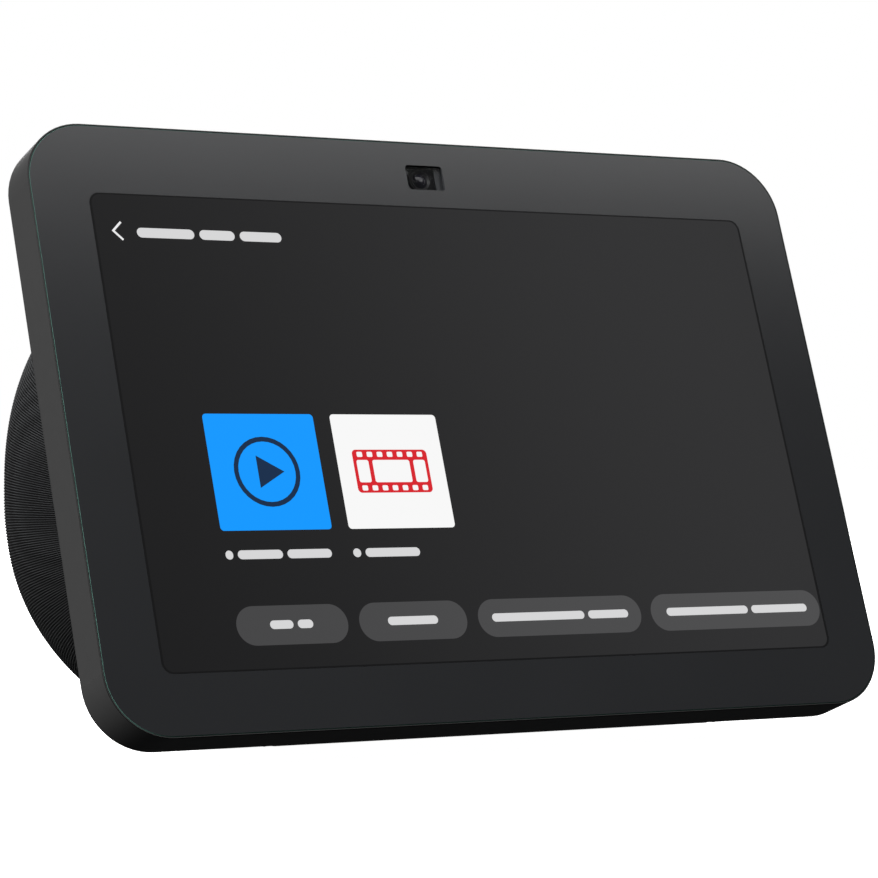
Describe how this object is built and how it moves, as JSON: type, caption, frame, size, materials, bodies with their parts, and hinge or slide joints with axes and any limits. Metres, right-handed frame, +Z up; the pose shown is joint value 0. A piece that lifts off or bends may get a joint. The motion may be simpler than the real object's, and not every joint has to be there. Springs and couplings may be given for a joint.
{
  "type": "smart display",
  "caption": "Tilted eight-inch touch screen slab in front of a knitted speaker dome, with a sliding camera shutter and buttons on the top edge.",
  "frame": {"origin": "on the table under the middle of the object's box", "axes": "+X to the viewer's right along the slab's width, +Y to the back, +Z up; the screen faces -Y and leans back"},
  "size_m": [0.2, 0.1059, 0.1374],
  "materials": {
    "cover_glass": "black printed behind clear glass, satin reflection",
    "clear_glass": "polished",
    "display_glass": "liquid crystal panel",
    "diffuser": "milky light guide",
    "tray_metal": "stamped",
    "black_rubber": "matte",
    "grey_rubber": "soft pad",
    "charcoal_plastic": "fine moulded texture",
    "carrier_metal": "die cast",
    "screw_steel": "black zinc",
    "circuit_board": "solder mask",
    "chip_plastic": "moulded package",
    "tin_steel": "tinned",
    "antenna_brass": "plated",
    "flex_film": "polyimide",
    "black_plastic": "moulded",
    "light_pipe": "clear",
    "button_plastic": "satin",
    "knit_fabric": "ribbed knit",
    "wire_rubber": "insulation",
    "radiator_steel": "black",
    "basket_steel": "black stamped",
    "magnet_iron": "nickel plated",
    "cone_paper": "pressed"
  },
  "bodies": {
    "housing": {"front_glass": "cover_glass", "camera_window": "clear_glass", "camera_lens": "clear_glass", "lcd_panel": "display_glass", "backlight_unit": "diffuser", "backlight_tray": "tray_metal", "glass_gasket": "black_rubber", "display_frame": "charcoal_plastic", "midframe": "carrier_metal", "rear_cover": "charcoal_plastic", "display_screws": "screw_steel", "dome_screws": "screw_steel", "board_screws": "screw_steel", "base_screws": "screw_steel", "main_board": "circuit_board", "camera_board": "circuit_board", "button_board": "circuit_board", "board_chips": "chip_plastic", "tact_switches": "chip_plastic", "microphones": "chip_plastic", "thermal_pad": "grey_rubber", "shield_can": "tin_steel", "antenna_left": "antenna_brass", "antenna_right": "antenna_brass", "display_flex": "flex_film", "camera_bracket": "black_plastic", "camera_barrel": "black_plastic", "status_light": "light_pipe", "fabric_cover": "knit_fabric", "dome_shell": "black_plastic", "enclosure_front": "black_plastic", "base_plate": "black_plastic", "base_weight": "screw_steel", "rubber_foot": "black_rubber", "power_inlet_ring": "charcoal_plastic", "power_jack": "black_plastic", "jack_pin": "antenna_brass", "jack_lead": "wire_rubber", "speaker_lead_left": "wire_rubber", "speaker_lead_right": "wire_rubber", "radiator_ring": "black_plastic", "radiator_surround": "black_rubber", "speaker_left_basket": "basket_steel", "speaker_left_magnet": "magnet_iron", "speaker_left_surround": "black_rubber", "speaker_right_basket": "basket_steel", "speaker_right_magnet": "magnet_iron", "speaker_right_surround": "black_rubber"},
    "shutter": {"shutter_slider": "button_plastic"},
    "mute_cap": {"mute_button": "button_plastic"},
    "volume_up_cap": {"volume_up_button": "button_plastic"},
    "volume_down_cap": {"volume_down_button": "button_plastic"},
    "left_cone": {"speaker_left_cone": "cone_paper"},
    "right_cone": {"speaker_right_cone": "cone_paper"},
    "radiator": {"radiator_diaphragm": "radiator_steel"}
  },
  "joints": [
    {"name": "shutter_slide", "type": "slide", "parent": "housing", "child": "shutter", "axis": [-1, 0, 0], "range_m": [0, 0.0056]},
    {"name": "mute_press", "type": "slide", "parent": "housing", "child": "mute_cap", "axis": [0, -0.3392, -0.9407], "range_m": [0, 0.0005], "stiffness_N_per_m": 900},
    {"name": "volume_up_press", "type": "slide", "parent": "housing", "child": "volume_up_cap", "axis": [0, -0.3392, -0.9407], "range_m": [0, 0.0005], "stiffness_N_per_m": 900},
    {"name": "volume_down_press", "type": "slide", "parent": "housing", "child": "volume_down_cap", "axis": [0, -0.3392, -0.9407], "range_m": [0, 0.0005], "stiffness_N_per_m": 900},
    {"name": "left_cone_stroke", "type": "slide", "parent": "housing", "child": "left_cone", "axis": [-1, 0, 0], "range_m": [-0.0015, 0.0015], "stiffness_N_per_m": 1500},
    {"name": "right_cone_stroke", "type": "slide", "parent": "housing", "child": "right_cone", "axis": [1, 0, 0], "range_m": [-0.0015, 0.0015], "stiffness_N_per_m": 1500},
    {"name": "radiator_stroke", "type": "slide", "parent": "housing", "child": "radiator", "axis": [0, 1, 0], "range_m": [-0.002, 0.002], "stiffness_N_per_m": 1500}
  ]
}
